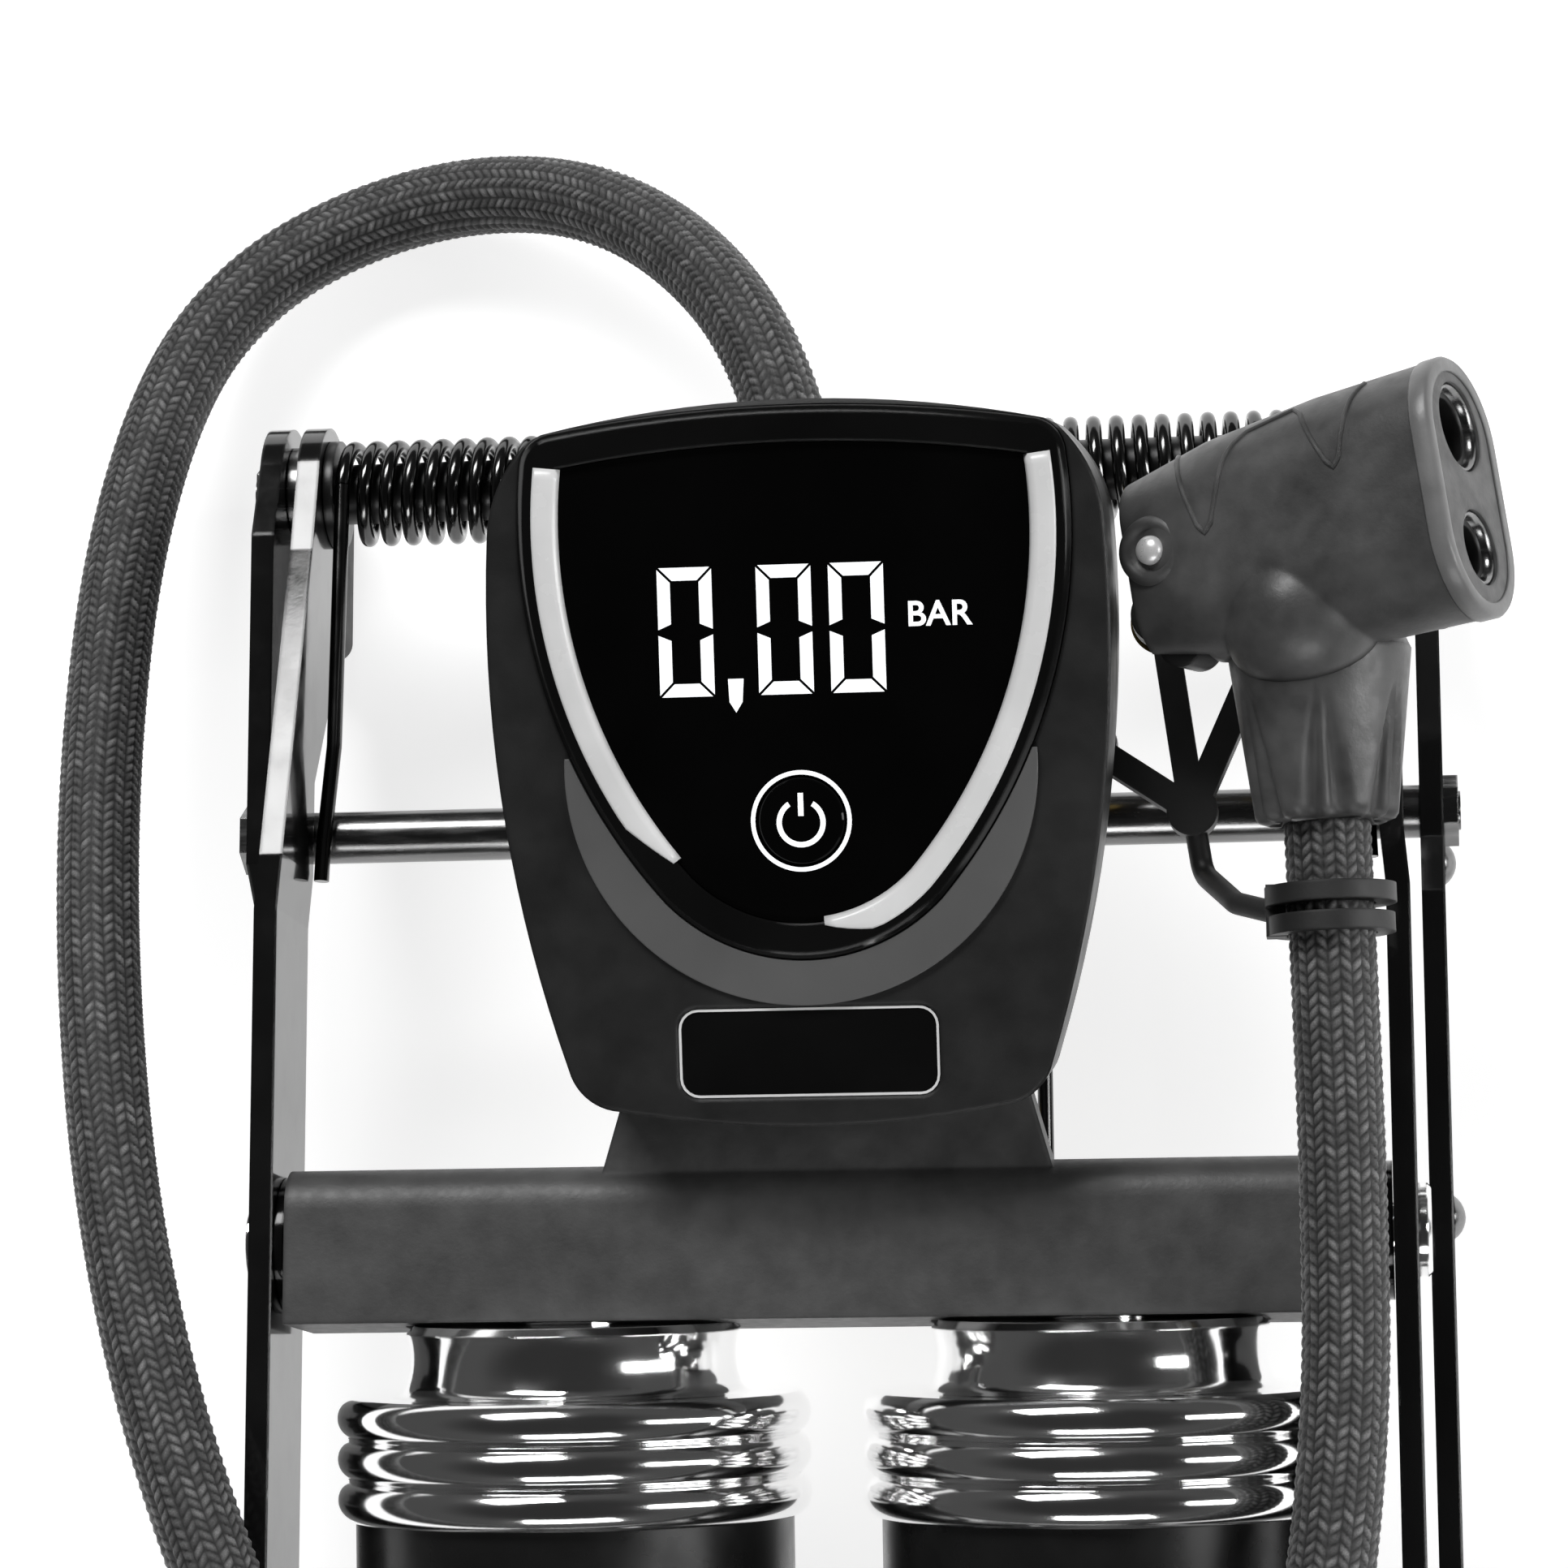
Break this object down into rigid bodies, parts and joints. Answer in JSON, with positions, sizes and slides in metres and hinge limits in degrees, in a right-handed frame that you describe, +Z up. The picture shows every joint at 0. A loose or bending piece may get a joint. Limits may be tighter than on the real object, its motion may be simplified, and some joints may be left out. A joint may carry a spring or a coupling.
{
  "type": "foot air pump",
  "caption": "Foot air pump with twin cylinders between folding steel rails, a spring-raised pedal lever, a digital pressure gauge, and a braided hose ending in a two-valve chuck.",
  "frame": {"origin": "on the floor, under the middle of the pump without its hose and chuck", "axes": "+X to the right, +Y from the pedal to the hinge, +Z up"},
  "size_m": [0.19, 0.3535, 0.0917],
  "materials": {
    "black_paint": "gloss",
    "chrome": "polished",
    "zinc": "satin",
    "spring_steel": "satin",
    "black_tube": "satin",
    "black_gloss_plastic": "gloss",
    "charcoal_plastic": "matt",
    "grey_panel": "matt",
    "black_plastic": "matt",
    "window": "gloss",
    "display": "gloss",
    "board": "satin",
    "battery_can": "satin",
    "brass": "satin",
    "rubber": "matt",
    "braid": "matt"
  },
  "bodies": {
    "base": {"base_rail_left": "black_paint", "base_rail_right": "black_paint", "front_cross_plate": "black_paint", "base_rivets": "zinc", "rubber_feet": "rubber", "cross_shaft": "zinc", "cross_shaft_nuts": "zinc", "hinge_shaft": "zinc", "hinge_nuts": "zinc", "hinge_washers": "zinc", "hinge_spacers": "black_plastic", "spring_left": "spring_steel", "spring_right": "spring_steel"},
    "lever": {"lever_rail_left": "black_paint", "lever_rail_right": "black_paint", "pedal_plate": "black_paint", "pedal_rivets": "zinc", "pedal_tread": "rubber", "lever_cross_tube": "black_paint", "crosshead_rivets": "chrome", "crosshead_washers": "black_gloss_plastic", "latch_pin": "zinc", "hose_swivel": "brass", "hose": "braid", "chuck_body": "charcoal_plastic", "chuck_pin": "chrome", "valve_seals": "rubber", "chuck_collar": "charcoal_plastic", "adapter_strap": "rubber", "ball_needle": "brass", "cone_nozzle": "brass", "presta_adapter": "brass"},
    "latch": {"latch_hook": "spring_steel"},
    "thumb_lever": {"chuck_thumb_lever": "charcoal_plastic"},
    "cylinders": {"crosshead": "charcoal_plastic", "air_manifold": "brass", "cylinder_head_left": "chrome", "cylinder_head_right": "chrome", "cylinder_tube_left": "black_tube", "cylinder_tube_right": "black_tube", "end_caps": "black_plastic", "check_valves": "rubber", "gauge_front_housing": "charcoal_plastic", "gauge_rear_housing": "black_plastic", "gauge_screws": "zinc", "gauge_bezel": "black_gloss_plastic", "gauge_lens": "window", "gauge_display": "display", "gauge_circuit_board": "board", "gauge_battery": "battery_can", "battery_door": "black_plastic", "gauge_face_panel": "grey_panel", "gauge_nameplate": "black_gloss_plastic"},
    "rods": {"piston_rod_left": "zinc", "piston_rod_right": "zinc", "pistons": "black_plastic", "piston_cups": "rubber", "front_shaft": "zinc", "front_shaft_nuts": "zinc"},
    "power_button": {"power_button": "window"}
  },
  "joints": [
    {"name": "lever_hinge", "type": "hinge", "parent": "base", "child": "lever", "pos_m": [0, 0.146, 0.031], "axis": [-1, 0, 0], "range_deg": [0, 40], "deforming": ["spring_left", "spring_right", "hose"]},
    {"name": "crosshead_pivot", "type": "hinge", "parent": "lever", "child": "cylinders", "pos_m": [0, 0.044, 0.0486], "axis": [1, 0, 0], "range_deg": [0, 55.3]},
    {"name": "piston_stroke", "type": "slide", "parent": "cylinders", "child": "rods", "axis": [0, -0.9946, -0.1042], "range_m": [0, 0.0492]},
    {"name": "latch_pivot", "type": "hinge", "parent": "lever", "child": "latch", "pos_m": [0, -0.145, 0.0505], "axis": [1, 0, 0], "range_deg": [0, 12]},
    {"name": "thumb_lever_pivot", "type": "hinge", "parent": "lever", "child": "thumb_lever", "pos_m": [0.04534, 0.12568, 0.06675], "axis": [0.4028, 0.0566, -0.9135], "range_deg": [0, 20]},
    {"name": "power_key", "type": "slide", "parent": "cylinders", "child": "power_button", "axis": [0, 0.2164, -0.9763], "range_m": [0, 0.0006], "stiffness_N_per_m": 400}
  ],
  "couplings": [
    {"joint": "crosshead_pivot", "follows": "lever_hinge", "ratio": 1.382},
    {"joint": "piston_stroke", "follows": "lever_hinge", "m_per_rad": 0.070319}
  ]
}
